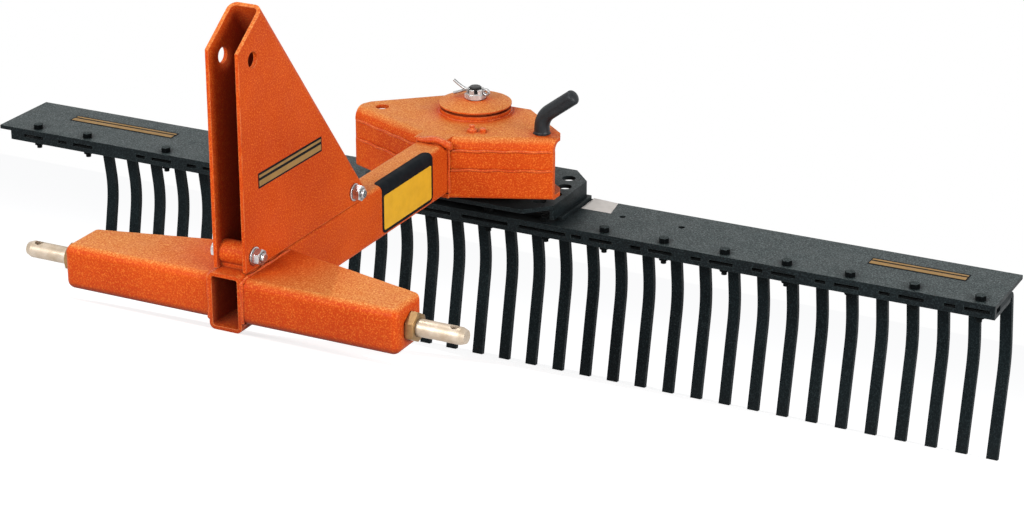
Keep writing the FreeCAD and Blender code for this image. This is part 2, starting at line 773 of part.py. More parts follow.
def make_rake_bar():
    """Flat bar with a slotted front lip. The slots under the head are the widest."""
    plate = box(("bar_length", "bar_width", "bar_wall"), ("-bar_length / 2", "bar_front_y", "tail_top"))
    lip = box(("bar_length - strip_setback", "bar_wall", "tine_thickness + bar_wall"),
              ("-bar_length / 2 + strip_setback", "bar_front_y", "strip_under"))
    tools = [cylinder("king_hole", "bar_wall", ("0", "pivot_y", "tail_top"))]
    slot_z = "tail_top - slot_drop - slot_height"
    long_row, short_row = bolt_stations()
    for x in long_row + short_row:
        tools.append(cylinder("bar_bolt_radius + bolt_gap", "bar_wall", (x, "bolt_y", "tail_top")))
        wide = abs(value(x)) < value("head_shoulder_x")
        length = "slot_wide" if wide else "slot_long"
        tools.append(box((length, "bar_wall", "slot_height"),
                         (f"{x} - {length} / 2", "bar_front_y", slot_z)))
        if not wide and x != short_row[0]:
            tools.append(box(("slot_short", "bar_wall", "slot_height"),
                             (f"{x} - bolt_pitch / 2", "bar_front_y", slot_z)))
    for step in (6, 5):
        tools.append(cylinder("plate_hole_radius", "bar_wall",
                              (f"bar_length / 2 - bolt_first - {step} * bolt_pitch",
                               "pivot_y + plate_hole_y", "tail_top")))
    node("rake_bar", cut(fuse(plate, lip), *tools))


def make_strip(label, start, end, stations):
    """Flat strip under the bar that clamps the tails of the tines."""
    strip = box((f"({end}) - ({start})", "bar_width / 2 - bar_wall + strip_rear", "bar_wall"),
                (start, "bar_front_y + bar_wall", "strip_under"))
    holes = [cylinder("bar_bolt_radius + bolt_gap", "bar_wall", (x, "bolt_y", "strip_under"))
             for x in stations]
    node(label, cut(strip, *holes))


def make_clamp_bolts():
    bolts = []
    nuts = []
    long_row, short_row = bolt_stations()
    for x in long_row + short_row:
        reach = "2 * bar_wall + tine_thickness + bar_nut_height + bar_bolt_end"
        shank = cylinder("bar_bolt_radius", reach,
                         (x, "bolt_y", "strip_under - bar_nut_height - bar_bolt_end"))
        bolts.append(fuse(shank, hexagon("bar_head_flats", "bar_head_height", (x, "bolt_y", "bar_top"))))
        seat = (x, "bolt_y", "strip_under - bar_nut_height")
        nuts.append(cut(hexagon("bar_head_flats", "bar_nut_height", seat),
                        cylinder("bar_bolt_radius", "bar_nut_height", seat)))
    node("clamp_bolts", *bolts)
    node("clamp_nuts", *nuts)


def tine_corners():
    """One tine's outline from the side: tail, outer side, tip, inner side.

    The middle line turns down at the bend and forwards at the elbow. Both corners of each
    turn lie on the bisector of the two runs that meet there.
    """
    lean = "(tine_shank_angle * 1 deg)"
    sweep = "(tine_tip_angle * 1 deg)"
    half = "tine_thickness / 2"
    level = f"tail_top - {half}"
    elbow_y = f"pivot_y + tine_bend_y + tine_elbow_drop * tan{lean}"
    elbow_z = f"{level} - tine_elbow_drop"
    middle = {"bend": ("pivot_y + tine_bend_y", level), "elbow": (elbow_y, elbow_z),
              "tip": (f"{elbow_y} - tine_tip_drop * tan{sweep}", f"{elbow_z} - tine_tip_drop")}
    turn = f"(1 + cos({lean} + {sweep}))"
    square = {"bend": (f"cos{lean} / (1 + sin{lean})", "1"),
              "elbow": (f"(cos{lean} + cos{sweep}) / {turn}", f"(sin{lean} - sin{sweep}) / {turn}"),
              "tip": (f"cos{sweep}", f"-sin{sweep}")}

    def beside(place, sign):
        return tuple(f"{point} {sign} {half} * ({offset})"
                     for point, offset in zip(middle[place], square[place]))

    tail_y = "pivot_y - tine_tail"
    outer = [beside(place, "+") for place in ("bend", "elbow", "tip")]
    inner = [beside(place, "-") for place in ("tip", "elbow", "bend")]
    return [(tail_y, f"{level} + {half}")] + outer + inner + [(tail_y, f"{level} - {half}")]


def make_tines(label, first):
    """A row of equal tines, from its first tine counted from the bar's right end."""
    body = new_body(label + "_row")
    profile = outline(body, "YZ_Plane", tine_corners(),
                      lift=f"bar_length / 2 - tine_width - {first} * tine_pitch")
    one = pad(body, profile, "tine_width")
    row = body.newObject("PartDesign::LinearPattern", "row")
    row.Originals = [one]
    row.Direction = (profile, ["N_Axis"])
    row.Reversed = True
    bind(row, Length=f"({label} - 1) * tine_pitch", Occurrences=label)
    body.Tip = row
    doc.recompute()
    round_corners(body, profile, [1], "tine_bend_radius + tine_thickness")
    round_corners(body, profile, [6], "tine_bend_radius")
    round_corners(body, profile, [2], "tine_elbow_radius + tine_thickness")
    round_corners(body, profile, [5], "tine_elbow_radius")
    node(label, body)


# ---------------------------------------------------------------- checks and parking

def check():
    """Stop if any object failed or any sub-part has no sound solid."""
    for item in doc.Objects:
        if "Invalid" in item.State or "Error" in item.State:
            raise ValueError(f"{item.Name} ({item.Label}) failed: {item.State}")
    for label, sub_part in nodes.items():
        shape = sub_part.Shape
        if shape.isNull() or not shape.isValid() or not shape.Solids:
            raise ValueError(f"{label} has no sound solid")


def parked():
    """Lay the rake down on its tongue's front edge and the tips of its tines."""
    slopes = [math.atan2(-vertex.Z, vertex.Y) for vertex in nodes["tines_right"].Shape.Vertexes]
    turn = Rotation(Vector(1, 0, 0), math.degrees(max(slopes)))
    whole = FreeCAD.BoundBox()
    for sub_part in nodes.values():
        shape = sub_part.Shape.copy()
        shape.Placement = Placement(Vector(), turn) * shape.Placement
        whole.add(shape.optimalBoundingBox(False))
    return Placement(Vector(-whole.Center.x, -whole.Center.y, -whole.ZMin), turn)


make_tongue()
make_crossbar(1, "hitch_bar_right")
make_crossbar(-1, "hitch_bar_left")
make_lower_pin(1, "lower_pin_right")
make_lower_pin(-1, "lower_pin_left")
make_collar(1, "pin_collar_right")
make_collar(-1, "pin_collar_left")
make_mast()
make_boss("boss_front_y", "mast_boss_front")
make_boss("boss_rear_y", "mast_boss_rear")
make_mast_bolt("boss_front_y", "front")
make_mast_bolt("boss_rear_y", "rear")
make_mast_washers()
make_head_shells()
make_head_wall(1, "head_wall_right")
make_head_wall(-1, "head_wall_left")
make_pivot_tube()
make_cap_ring()
make_index_pin()
make_king_pin()
make_cap_disc()
make_castle_nut()
make_cotter()
make_thrust_washer()
make_turntable()
make_turntable_base()
make_rake_bar()
main_bolts, left_bolts = bolt_stations()
make_strip("clamp_strip", "strip_end", "bar_length / 2", main_bolts)
make_strip("clamp_strip_left", "-bar_length / 2 + strip_setback", "strip_end - strip_joint", left_bolts)
make_clamp_bolts()
make_tines("tines_right", "0")
make_tines("tines_middle", "tines_right")
make_tines("tines_left", "tines_clamped")
doc.recompute()

check()
park = parked()
for sub_part in nodes.values():
    sub_part.Placement = park * sub_part.Placement
doc.recompute()
check()
for label, sub_part in nodes.items():
    sub_part.Shape.exportStep(f"parts/{label}.step")
    print(f"{label}: {len(sub_part.Shape.Solids)} solids, {sub_part.Shape.Volume / 1000:.1f} cm3")
print("laid down by", park)
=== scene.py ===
import json
import math
import random

import bmesh
import bpy
from mathutils import Matrix, Vector


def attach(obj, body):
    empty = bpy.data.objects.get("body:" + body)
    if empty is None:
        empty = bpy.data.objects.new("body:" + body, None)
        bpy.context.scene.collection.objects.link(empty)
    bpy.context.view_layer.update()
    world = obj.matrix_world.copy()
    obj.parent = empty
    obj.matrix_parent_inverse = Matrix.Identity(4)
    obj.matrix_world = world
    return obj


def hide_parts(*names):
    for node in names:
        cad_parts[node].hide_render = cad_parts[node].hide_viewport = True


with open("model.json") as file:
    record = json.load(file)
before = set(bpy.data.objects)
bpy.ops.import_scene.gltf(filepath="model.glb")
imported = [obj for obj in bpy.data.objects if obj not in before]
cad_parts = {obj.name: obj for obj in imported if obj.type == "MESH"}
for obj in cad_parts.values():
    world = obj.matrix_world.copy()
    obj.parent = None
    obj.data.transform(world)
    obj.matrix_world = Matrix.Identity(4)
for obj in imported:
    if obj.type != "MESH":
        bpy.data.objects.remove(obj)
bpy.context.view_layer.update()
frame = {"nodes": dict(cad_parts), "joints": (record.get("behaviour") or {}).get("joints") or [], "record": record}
nodes = frame["nodes"]
scene = bpy.context.scene
MM = 0.001

# The rake is parked nose down. LEVEL turns its own level frame into the floor's frame: X across,
# Y rearwards from the tongue's front end, Z along the king pin from the tongue's underside.
PIVOT_Y = 677.0
swivel = frame["joints"][0]
UP = Vector(swivel["axis"]).normalized()
ACROSS = Vector((1, 0, 0))
BACK = UP.cross(ACROSS)
ORIGIN = Vector(swivel["pos_m"]) - BACK * PIVOT_Y * MM
LEVEL = Matrix((
    (ACROSS.x, BACK.x, UP.x, ORIGIN.x),
    (ACROSS.y, BACK.y, UP.y, ORIGIN.y),
    (ACROSS.z, BACK.z, UP.z, ORIGIN.z),
    (0, 0, 0, 1)))

# Sizes of the solids that the pieces are fitted to, in millimetres of the level frame.
SIDE_X = 23.5  # outer faces of the tongue and the mast, on either side of the middle
TONGUE_TOP = 76.0
TONGUE_CORNER = 8.0
BOSSES = (("front", 34.0), ("rear", 284.0))
BOSS_Z = 93.0
LOWER_PIN = (0, 36.0, 41.0)
SHOULDER_IN, SHOULDER_OUT = 242.0, 254.0
HEAD_TOP = 82.0
HEAD_FRONT = PIVOT_Y - 129.0
HEAD_CORNER = PIVOT_Y - 71.0
INDEX_RADIUS = 135.0
BAR_TOP = -48.0
STRIP_UNDER = -68.0


def at(x, y, z):
    """A point of the level frame, given in millimetres, in the floor's frame in metres."""
    return LEVEL @ Vector((x * MM, y * MM, z * MM))


# ------------------------------------------------------------------ camera

AZIMUTH, ELEVATION, ROLL = math.radians(26.555), math.radians(22.204), math.radians(0.072)
CAMERA_PLACE = (1725.2, -2657.1, 1377.7)
LENS, SENSOR = 97.18, 36.0
CLIP_START, CLIP_END = 0.05, 60


def level_camera():
    """The camera, which leans with the parked rake, so that the rake shows level."""
    behind = Vector((math.sin(AZIMUTH) * math.cos(ELEVATION),
                     -math.cos(AZIMUTH) * math.cos(ELEVATION), math.sin(ELEVATION)))
    right = Vector((math.cos(AZIMUTH), math.sin(AZIMUTH), 0))
    above = behind.cross(right)
    right, above = (math.cos(ROLL) * right + math.sin(ROLL) * above,
                    -math.sin(ROLL) * right + math.cos(ROLL) * above)
    camera = bpy.data.objects.new("camera", bpy.data.cameras.new("camera"))
    scene.collection.objects.link(camera)
    camera.data.sensor_width = SENSOR
    camera.data.lens = LENS
    camera.data.clip_start = CLIP_START
    camera.data.clip_end = CLIP_END
    stand = Matrix.Identity(4)
    for column, direction in enumerate((right, above, behind)):
        for row in range(3):
            stand[row][column] = direction[row]
    stand.translation = Vector(CAMERA_PLACE) * MM
    camera.matrix_world = LEVEL @ stand
    return camera


scene.camera = level_camera()


# ------------------------------------------------------------------ materials

# How near things have to lie, in metres: an edge to be worn and lit with a painted highlight, a wall to take off
# the dust and painted sheen and lay painted shade, and a face to lay painted shade in a crevice on paint and on
# plated metal.
EDGE_REACH = 0.0015
SHELTER_REACH = 0.14
CREVICE_REACH = 0.005
PLATED_CREVICE_REACH = 0.004


def scaled(colour, share, lift=0.0):
    """A colour with each channel scaled, then lifted."""
    return tuple(min(1.0, share * channel + lift) for channel in colour)


class Shader:
    """A small helper that adds and joins the nodes of one material."""

    def __init__(self, name):
        self.material = bpy.data.materials.new(name)
        self.material.use_nodes = True
        self.tree = self.material.node_tree
        self.tree.nodes.clear()
        self.output = self.add("ShaderNodeOutputMaterial")
        self.surface = self.add("ShaderNodeBsdfPrincipled")
        self.join(self.surface.outputs[0], self.output.inputs["Surface"])
        self.place = self.add("ShaderNodeTexCoord").outputs["Object"]

    def add(self, kind, **values):
        """A node, with its settings and its inputs' values given by name."""
        node = self.tree.nodes.new(kind)
        for key, value in values.items():
            if hasattr(node, key):
                setattr(node, key, value)
            else:
                node.inputs[key].default_value = value
        return node

    def join(self, source, target):
        self.tree.links.new(source, target)

    def fill(self, slot, source):
        """Set an input to a colour or a number, or join it to another node."""
        if isinstance(source, tuple):
            slot.default_value = (*source, 1.0)
        elif isinstance(source, float):
            slot.default_value = source
        else:
            self.join(source, slot)

    def noise(self, scale, detail=4.0, roughness=0.55):
        texture = self.add("ShaderNodeTexNoise", Scale=scale, Detail=detail, Roughness=roughness)
        self.join(self.place, texture.inputs["Vector"])
        return texture.outputs["Fac"]

    def span(self, value, low, high, to_low=0.0, to_high=1.0):
        """value with low to high spread over to_low to to_high, and held beyond them."""
        ramp = self.add("ShaderNodeMapRange")
        for slot, number in zip(range(1, 5), (low, high, to_low, to_high)):
            ramp.inputs[slot].default_value = number
        self.join(value, ramp.inputs[0])
        return ramp.outputs[0]

    def mix(self, factor, first, second):
        blend = self.add("ShaderNodeMix", data_type="RGBA")
        for slot, source in ((0, factor), (6, first), (7, second)):
            self.fill(blend.inputs[slot], source)
        return blend.outputs[2]

    def times(self, first, second):
        product = self.add("ShaderNodeMath", operation="MULTIPLY")
        self.fill(product.inputs[0], first)
        self.fill(product.inputs[1], second)
        return product.outputs[0]

    def edges(self):
        """1 near the edges of the solid, 0 on its faces."""
        bevel = self.add("ShaderNodeBevel", samples=4, Radius=EDGE_REACH)
        geometry = self.add("ShaderNodeNewGeometry")
        dot = self.add("ShaderNodeVectorMath", operation="DOT_PRODUCT")
        self.join(bevel.outputs[0], dot.inputs[0])
        self.join(geometry.outputs["Normal"], dot.inputs[1])
        return self.span(dot.outputs["Value"], 1.0, 0.8)

    def opening(self, reach):
        """How open the surface lies: 1 where nothing stands within reach, towards 0 in a corner."""
        shade = self.add("ShaderNodeAmbientOcclusion", samples=6, only_local=False, Distance=reach)
        return shade.outputs["AO"]

    def upward(self):
        """1 where the surface faces along the king pin, 0 from about 57 degrees off it."""
        geometry = self.add("ShaderNodeNewGeometry")
        dot = self.add("ShaderNodeVectorMath", operation="DOT_PRODUCT")
        dot.inputs[1].default_value = UP
        self.join(geometry.outputs["Normal"], dot.inputs[0])
        return self.span(dot.outputs["Value"], 0.55, 0.98)

    def bump(self, height, strength, distance, soften=0.0008):
        """Bump from height, over edges that are softened by a small radius in metres."""
        bevel = self.add("ShaderNodeBevel", samples=4, Radius=soften)
        bump = self.add("ShaderNodeBump", Strength=strength, Distance=distance)
        self.join(height, bump.inputs["Height"])
        self.join(bevel.outputs[0], bump.inputs["Normal"])
        self.join(bump.outputs[0], self.surface.inputs["Normal"])

    def finish(self, colour, roughness, **values):
        """Give the surface its colour, roughness and plain values, and return the material."""
        self.join(colour, self.surface.inputs["Base Color"])
        self.join(roughness, self.surface.inputs["Roughness"])
        for key, value in values.items():
            self.surface.inputs[key.replace("_", " ")].default_value = value
        return self.material


def painted(name, tones, dust_and_sheen, dust_and_sheen_share, worn_and_highlight, roughness, gloss, peel, grain):
    """Sprayed enamel with mottling, grain, orange peel, dust with a painted sheen on open tops, painted shade in
    hollows and crevices, and worn edges lightened as a painted highlight.

    tones is the paint's base, deep and pale colour. The edges' colour is partly wear and partly a painted
    highlight, and the dust colour is partly dust and partly a painted sheen.
    """
    base, deep, pale = tones
    shader = Shader(name)
    body = shader.mix(shader.span(shader.noise(7.0, 5.0), 0.35, 0.68), base, deep)
    # dust and a painted sheen on level tops with nothing over or close beside them; near walls both fall away,
    # which paints the walls' shade
    open_sky = shader.opening(SHELTER_REACH)
    dust_and_sheen_mask = shader.times(shader.upward(), shader.span(open_sky, 0.70, 0.98))
    body = shader.mix(shader.times(dust_and_sheen_mask, dust_and_sheen_share), body, dust_and_sheen)
    # grain, as fine specks that are paler and deeper than the paint; on open tops the pale specks take a lifted
    # dust colour that carries the painted sheen
    speck = shader.mix(dust_and_sheen_mask, pale, scaled(dust_and_sheen, 1.5, 0.08))
    speckle = shader.noise(470.0, 2.0, 0.7)
    body = shader.mix(shader.span(speckle, 0.50, 0.68, 0.0, grain), body, speck)
    body = shader.mix(shader.span(speckle, 0.34, 0.50, grain, 0.0), body, deep)
    # painted shade: darker deep inside hollows and channels, where walls stand near
    painted_shade_inside = shader.span(open_sky, 0.10, 0.50, 0.80, 0.0)
    body = shader.mix(painted_shade_inside, body, scaled(deep, 0.30, 0.018))
    # edges lighter in patches: partly wear, partly a painted highlight along them
    worn_and_highlit_edges = shader.times(shader.edges(), shader.span(shader.noise(55.0), 0.40, 0.60))
    body = shader.mix(shader.times(worn_and_highlit_edges, 0.6), body, worn_and_highlight)
    # painted shade in crevices and where parts meet, within a few millimetres of another face
    painted_crevice_shade = shader.span(shader.opening(CREVICE_REACH), 0.35, 0.80, 0.40, 0.0)
    body = shader.mix(painted_crevice_shade, body, scaled(deep, 0.35))
    shader.bump(shader.noise(420.0, 2.0), peel, 0.0004)
    patches = shader.span(shader.noise(38.0, 6.0), 0.3, 0.7, roughness - 0.05, roughness + 0.10)
    return shader.finish(body, patches, Specular_IOR_Level=gloss)


def plated(name, colour, shade, roughness, scale=120.0, metallic=0.9):
    """Plated or bare metal: faintly cloudy, dulled in patches, with painted shade where pieces meet."""
    shader = Shader(name)
    body = shader.mix(shader.span(shader.noise(scale, 6.0), 0.35, 0.65), colour, shade)
    # painted shade in crevices, within a few millimetres of another face
    painted_crevice_shade = shader.span(shader.opening(PLATED_CREVICE_REACH), 0.35, 0.80, 0.70, 0.0)
    body = shader.mix(painted_crevice_shade, body, scaled(shade, 0.15))
    shader.bump(shader.noise(900.0, 2.0), 0.15, 0.0002, 0.0006)
    patches = shader.span(shader.noise(scale * 0.6, 4.0), 0.3, 0.7, roughness - 0.08, roughness + 0.12)
    return shader.finish(body, patches, Metallic=metallic)


def moulded(name, colour, shade, roughness, gloss):
    """Dipped vinyl or printed film: an even colour with faint scuffs."""
    shader = Shader(name)
    body = shader.mix(shader.span(shader.noise(70.0, 6.0), 0.4, 0.7, 0.0, 0.7), colour, shade)
    shader.bump(shader.noise(300.0, 3.0), 0.10, 0.0004)
    scuffs = shader.span(shader.noise(25.0), 0.3, 0.7, roughness, roughness + 0.15)
    return shader.finish(body, scuffs, Specular_IOR_Level=gloss)


ORANGE_TONES = ((0.62, 0.074, 0.0065), (0.48, 0.042, 0.004), (0.90, 0.26, 0.035))
BLACK_TONES = ((0.0052, 0.0090, 0.0102), (0.0018, 0.0032, 0.0040), (0.030, 0.043, 0.046))
BOLT_TONES = ((0.0022, 0.0030, 0.0034), (0.0010, 0.0014, 0.0016), (0.012, 0.016, 0.017))
# Dust colours, this one and each given below, are partly dust and partly a painted sheen on open tops.
BLACK_DUST_AND_SHEEN = (0.088, 0.112, 0.112)
ORANGE = painted("orange_paint", ORANGE_TONES, dust_and_sheen=(0.78, 0.36, 0.085), dust_and_sheen_share=0.48,
                 worn_and_highlight=(0.92, 0.42, 0.17), roughness=0.46, gloss=0.08, peel=0.25, grain=0.52)
WELD = painted("welded_paint", ORANGE_TONES, dust_and_sheen=(0.86, 0.34, 0.13), dust_and_sheen_share=0.2,
               worn_and_highlight=(0.95, 0.45, 0.20), roughness=0.38, gloss=0.2, peel=0.5, grain=0.6)
BLACK = painted("black_paint", BLACK_TONES, dust_and_sheen=BLACK_DUST_AND_SHEEN, dust_and_sheen_share=0.42,
                worn_and_highlight=(0.060, 0.074, 0.074), roughness=0.42, gloss=0.09, peel=0.3, grain=0.55)
TINE_BLACK = painted("tine_paint", BLACK_TONES, dust_and_sheen=(0.014, 0.022, 0.024), dust_and_sheen_share=0.2,
                     worn_and_highlight=(0.036, 0.045, 0.045), roughness=0.50, gloss=0.05, peel=0.35, grain=0.45)
BOLT_BLACK = painted("bolt_paint", BOLT_TONES, dust_and_sheen=BLACK_DUST_AND_SHEEN, dust_and_sheen_share=0.36,
                     worn_and_highlight=(0.020, 0.024, 0.024), roughness=0.55, gloss=0.03, peel=0.3, grain=0.3)
ZINC = plated("zinc_plate", (0.66, 0.66, 0.66), (0.40, 0.40, 0.41), 0.24)
PALE_STEEL = plated("pale_steel", (0.72, 0.71, 0.70), (0.46, 0.45, 0.44), 0.32, 90.0, 0.6)
WIRE_ZINC = plated("wire_zinc", (0.44, 0.44, 0.44), (0.27, 0.27, 0.27), 0.30, 160.0, 0.8)
PIN_STEEL = plated("pin_steel", (0.58, 0.49, 0.39), (0.44, 0.35, 0.25), 0.42, 60.0, 0.6)
DARK_STEEL = plated("dark_steel", (0.030, 0.030, 0.030), (0.014, 0.014, 0.014), 0.38, 200.0, 0.5)
YELLOW_ZINC = plated("yellow_zinc", (0.33, 0.20, 0.085), (0.21, 0.130, 0.060), 0.38, 90.0)
GRIP = moulded("grip_vinyl", (0.0085, 0.0105, 0.0125), (0.020, 0.024, 0.027), 0.36, 0.25)
YELLOW_FILM = moulded("yellow_film", (0.80, 0.43, 0.028), (0.70, 0.36, 0.024), 0.45, 0.12)
BLACK_FILM = moulded("black_film", (0.005, 0.007, 0.009), (0.012, 0.014, 0.016), 0.55, 0.05)
GOLD_FILM = moulded("gold_film", (0.33, 0.19, 0.060), (0.24, 0.14, 0.045), 0.40, 0.15)
PALE_FILM = moulded("pale_film", (0.66, 0.62, 0.58), (0.54, 0.51, 0.47), 0.45, 0.15)

FINISH = {"orange_paint": ORANGE, "black_paint": BLACK, "zinc_plate": ZINC,
          "yellow_zinc": YELLOW_ZINC, "grip_vinyl": GRIP}
for part in frame["record"]["subparts"]:
    solid = nodes[part["node"]]
    finish = FINISH[part["material_slot"]]
    if part["node"].startswith("lower_pin"):
        finish = PIN_STEEL
    elif part["node"].startswith("tines"):
        finish = TINE_BLACK
    solid.data.materials.clear()
    solid.data.materials.append(finish)


# ------------------------------------------------------------------ mesh helpers

# Edges of more than so many degrees show as edges. Wire, grips and weld beads have few of them.
SHARP, SHARP_FILM, SHARP_ROUND = 35.0, 40.0, 60.0


def loft(rings, caps=True):
    """Skin a run of equal rings of points; without caps the last ring meets the first."""
    count = len(rings[0])
    verts = [point for ring in rings for point in ring]
    faces = []
    for i in range(len(rings) - 1 if caps else len(rings)):
        low, high = i * count, (i + 1) % len(rings) * count
        for j in range(count):
            k = (j + 1) % count
            faces.append((low + j, low + k, high + k, high + j))
    if caps:
        faces.append(tuple(reversed(range(count))))
        faces.append(tuple(range(len(verts) - count, len(verts))))
    return verts, faces


def joined(*shapes):
    """Several shapes as one."""
    verts, faces = [], []
    for shape_verts, shape_faces in shapes:
        start = len(verts)
        verts += shape_verts
        faces += [tuple(start + index for index in face) for face in shape_faces]
    return verts, faces


def piece(name, shape, material, body, replaces=(), sharp=SHARP):
    """A mesh object from points of the level frame, smooth but for its sharp edges."""
    verts, faces = shape
    mesh = bpy.data.meshes.new(name)
    mesh.from_pydata([at(*point) for point in verts], [], faces)
    builder = bmesh.new()
    builder.from_mesh(mesh)
    bmesh.ops.recalc_face_normals(builder, faces=builder.faces)
    builder.to_mesh(mesh)
    builder.free()
    mesh.shade_smooth()
    mesh.set_sharp_from_angle(angle=math.radians(sharp))
    mesh.materials.append(material)
    obj = bpy.data.objects.new(name, mesh)
    scene.collection.objects.link(obj)
    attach(obj, body)
    if replaces:
        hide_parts(*replaces)


AXES = {"x": (Vector((0, 0, 1)), Vector((0, -1, 0)), Vector((1, 0, 0))),
        "z": (Vector((1, 0, 0)), Vector((0, 1, 0)), Vector((0, 0, 1)))}


def turned_ring(origin, axis, radius, height, sides, flats=None, cone=None):
    """One ring of a turned or six-sided bar.

    flats is the distance across flats that cuts the ring to a hexagon. cone = (radius, rise)
    tilts the ring's corners where they pass that radius, as a turned chamfer does.
    """
    u, v, w = AXES[axis]
    ring = []
    for step in range(sides):
        angle = 2 * math.pi * step / sides
        reach = radius
        if flats:
            reach = min(radius, flats / 2 / math.cos((angle % (math.pi / 3)) - math.pi / 6))
        shift = max(0.0, reach - cone[0]) * cone[1] if cone else 0.0
        ring.append(Vector(origin) + (u * math.cos(angle) + v * math.sin(angle)) * reach
                    + w * (height + shift))
    return ring


def turned(origin, axis, profile, sides=48):
    """A closed turned shape from (radius, height) pairs."""
    return loft([turned_ring(origin, axis, radius, height, sides) for radius, height in profile])


CHAMFER_START = 0.97  # of the radius across flats
CHAMFER_SLOPE = 0.55
CLOSED = 0.3  # a bore too small to see, in place of none
THREAD_GAP = 0.05


def hexagon(origin, axis, flats, low, high, bore, low_chamfer=True, high_chamfer=True, sides=72):
    """A hexagonal head or nut round a bore, its corners chamfered by a cone."""
    start = flats / 2 * CHAMFER_START
    low_cone = (start, CHAMFER_SLOPE) if low_chamfer else None
    high_cone = (start, -CHAMFER_SLOPE) if high_chamfer else None
    rings = [turned_ring(origin, axis, bore, low, sides)]
    if low_chamfer:
        rings.append(turned_ring(origin, axis, start, low, sides))
    rings.append(turned_ring(origin, axis, flats, low, sides, flats, low_cone))
    rings.append(turned_ring(origin, axis, flats, high, sides, flats, high_cone))
    if high_chamfer:
        rings.append(turned_ring(origin, axis, start, high, sides))
    rings.append(turned_ring(origin, axis, bore, high, sides))
    return loft(rings, caps=False)


def threaded(origin, axis, radius, low, high, pitch=1.75, depth=0.8, sides=32):
    """A bolt's threaded end with its chamfered tip."""
    profile = [(radius, low)]
    height = low
    while height + pitch < high - depth:
        profile += [(radius, height + pitch * 0.15), (radius - depth, height + pitch * 0.5),
                    (radius, height + pitch * 0.85)]
        height += pitch
    profile += [(radius, high - depth), (radius - depth, high)]
    return turned(origin, axis, profile, sides)


def sweep(path, radius, sides):
    """A round tube along points. radius is a function of the share of the length run."""
    path = [Vector(point) for point in path]
    lengths = [0.0]
    for first, second in zip(path, path[1:]):
        lengths.append(lengths[-1] + (second - first).length)
    side = None
    rings = []
    for i, point in enumerate(path):
        ahead = (path[min(i + 1, len(path) - 1)] - path[max(i - 1, 0)]).normalized()
        if side is None:
            side = ahead.orthogonal().normalized()
        else:
            side = (side - ahead * side.dot(ahead)).normalized()
        other = ahead.cross(side)
        reach = radius(lengths[i] / lengths[-1])
        rings.append([point + (side * math.cos(2 * math.pi * j / sides)
                               + other * math.sin(2 * math.pi * j / sides)) * reach
                      for j in range(sides)])
    return loft(rings)


def arc(centre, across, along, radius, start, end, steps):
    """Points of an arc in the plane of two unit directions, from start to end in degrees."""
    centre, across, along = Vector(centre), Vector(across), Vector(along)
    points = []
    for i in range(steps + 1):
        angle = math.radians(start + (end - start) * i / steps)
        points.append(centre + (across * math.cos(angle) + along * math.sin(angle)) * radius)
    return points


def resample(points, step):
    """Evenly spaced points along a run of straight lines."""
    points = [Vector(point) for point in points]
    result = [points[0]]
    for first, second in zip(points, points[1:]):
        count = max(1, round((second - first).length / step))
        result += [first.lerp(second, i / count) for i in range(1, count + 1)]
    return result


BEAD_STEP, BEAD_RIPPLE, BEAD_SIDES = 0.85, 3.4, 12


def bead(points, radius, seed):
    """A weld bead: rippled along its length and a little uneven."""
    rng = random.Random(seed)
    path = resample(points, BEAD_STEP)
    phases = [rng.uniform(0, 6) for _ in range(4)]
    total = BEAD_STEP * len(path)

    def reach(share):
        run = share * total
        wave = 0.10 * abs(math.sin(math.pi * run / BEAD_RIPPLE + phases[0]))
        slow = 0.10 * math.sin(run / 11 + phases[1]) + 0.08 * math.sin(run / 4.7 + phases[2])
        taper = min(1.0, (run + 0.4) / 2.5, (total - run + 0.4) / 2.5)
        return radius * (0.92 + wave + slow) * max(0.15, taper)

    swayed = []
    for i, point in enumerate(path):
        sway = 0.28 * radius * math.sin(i * BEAD_STEP / 6.3 + phases[3])
        swayed.append(point + Vector((0.3 * sway, 0.3 * sway, sway)))
    return sweep(swayed, reach, BEAD_SIDES)


FILM_THICKNESS = 0.25


def film(place, columns, rows):
    """A thin printed sheet: place(u, v, lift) gives its points for u and v from 0 to 1."""
    top, under = [[place(i / columns, j / rows, lift)
                   for j in range(rows + 1) for i in range(columns + 1)]
                  for lift in (FILM_THICKNESS, 0.0)]
    span = columns + 1
    start = len(top)
    faces = []
    for j in range(rows):
        for i in range(columns):
            low = j * span + i
            faces.append((low, low + 1, low + span + 1, low + span))
            faces.append(tuple(start + k for k in (low, low + span, low + span + 1, low + 1)))
    rim = (list(range(columns)) + [j * span + columns for j in range(rows)]
           + [rows * span + i for i in range(columns, 0, -1)] + [j * span for j in range(rows, 0, -1)])
    for first, second in zip(rim, rim[1:] + rim[:1]):
        faces.append((second, first, start + first, start + second))
    return top + under, faces


# ------------------------------------------------------------------ hitch: bolts, nuts, washers

BOSS_BOLT, BOSS_FLATS, BOSS_SEAT = 6.0, 19.0, 26.0
for name, y in BOSSES:
    seat = (0, y, BOSS_Z)
    head = hexagon(seat, "x", BOSS_FLATS, -BOSS_SEAT - 8.0, -BOSS_SEAT, CLOSED, high_chamfer=False)
    shank = threaded(seat, "x", BOSS_BOLT, -BOSS_SEAT, BOSS_SEAT + 14.0)
    nut = hexagon(seat, "x", BOSS_FLATS, BOSS_SEAT, BOSS_SEAT + 10.0, BOSS_BOLT + THREAD_GAP)
    piece(f"boss_bolt_{name}", joined(head, shank), ZINC, "frame", [f"mast_bolt_{name}"])
    piece(f"boss_nut_{name}", nut, ZINC, "frame", [f"mast_nut_{name}"])

washer = [(11.2, SIDE_X), (11.8, 23.9), (11.8, 25.5), (11.2, 25.9)]
washers = [turned((0, y, BOSS_Z), "x", [(radius, side * x) for radius, x in washer[::side]])
           for _, y in BOSSES for side in (1, -1)]
piece("boss_washers", joined(*washers), ZINC, "frame", ["mast_washers"])

